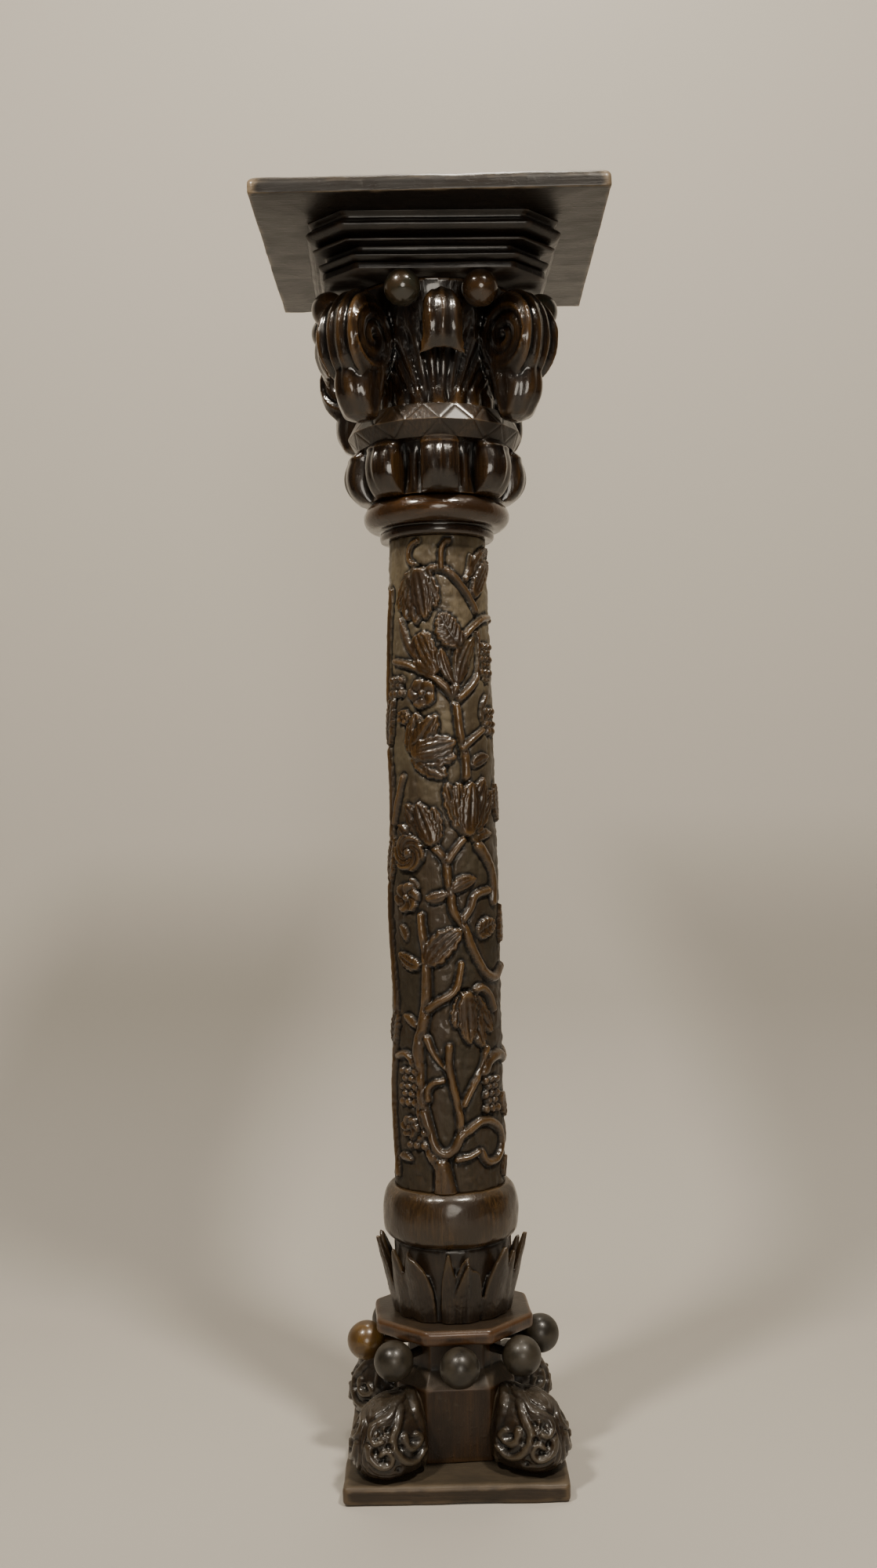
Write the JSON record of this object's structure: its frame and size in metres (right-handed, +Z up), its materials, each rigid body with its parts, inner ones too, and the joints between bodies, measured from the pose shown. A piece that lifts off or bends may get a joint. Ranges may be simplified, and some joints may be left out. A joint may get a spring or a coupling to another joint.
{
  "type": "carved pedestal column",
  "caption": "Tall carved wooden pedestal column with a square top board, scrolled capital, vine-carved round shaft and a square plinth on scroll feet, for standing a vase or bust on.",
  "frame": {"origin": "centre of the plinth's underside, on the floor", "axes": "+Z up the column, -Y towards the front, +X to the right seen from the front"},
  "size_m": [0.322, 0.322, 1.2],
  "materials": {
    "dark_oak_board": "stained oak, varnished, grey-brown worn edge",
    "dark_oak_capital": "stained nearly black, glossy varnish, warm brown on the high spots",
    "dark_oak_shaft": "stained oak, semi-gloss, dusty ground and worn warm high spots",
    "dark_oak_base": "stained oak, duller and dustier than the capital",
    "ball_wood": "turned, painted grey-brown with a bronze tone, satin"
  },
  "bodies": {
    "root": {"top_board": "dark_oak_board", "abacus_moulding": "dark_oak_capital", "capital": "dark_oak_capital", "capital_ball_1": "ball_wood", "capital_ball_2": "ball_wood", "capital_ball_3": "ball_wood", "capital_ball_4": "ball_wood", "capital_ball_5": "ball_wood", "capital_ball_6": "ball_wood", "capital_ball_7": "ball_wood", "capital_ball_8": "ball_wood", "neck_ring": "dark_oak_shaft", "shaft": "dark_oak_shaft", "leaf_collar": "dark_oak_shaft", "cap_plate": "dark_oak_base", "base_block": "dark_oak_base", "scroll_foot_1": "dark_oak_base", "scroll_foot_2": "dark_oak_base", "scroll_foot_3": "dark_oak_base", "scroll_foot_4": "dark_oak_base", "base_ball_1": "ball_wood", "base_ball_2": "ball_wood", "base_ball_3": "ball_wood", "base_ball_4": "ball_wood", "base_ball_5": "ball_wood", "base_ball_6": "ball_wood", "base_ball_7": "ball_wood", "base_ball_8": "ball_wood", "plinth": "dark_oak_base"}
  },
  "joints": []
}
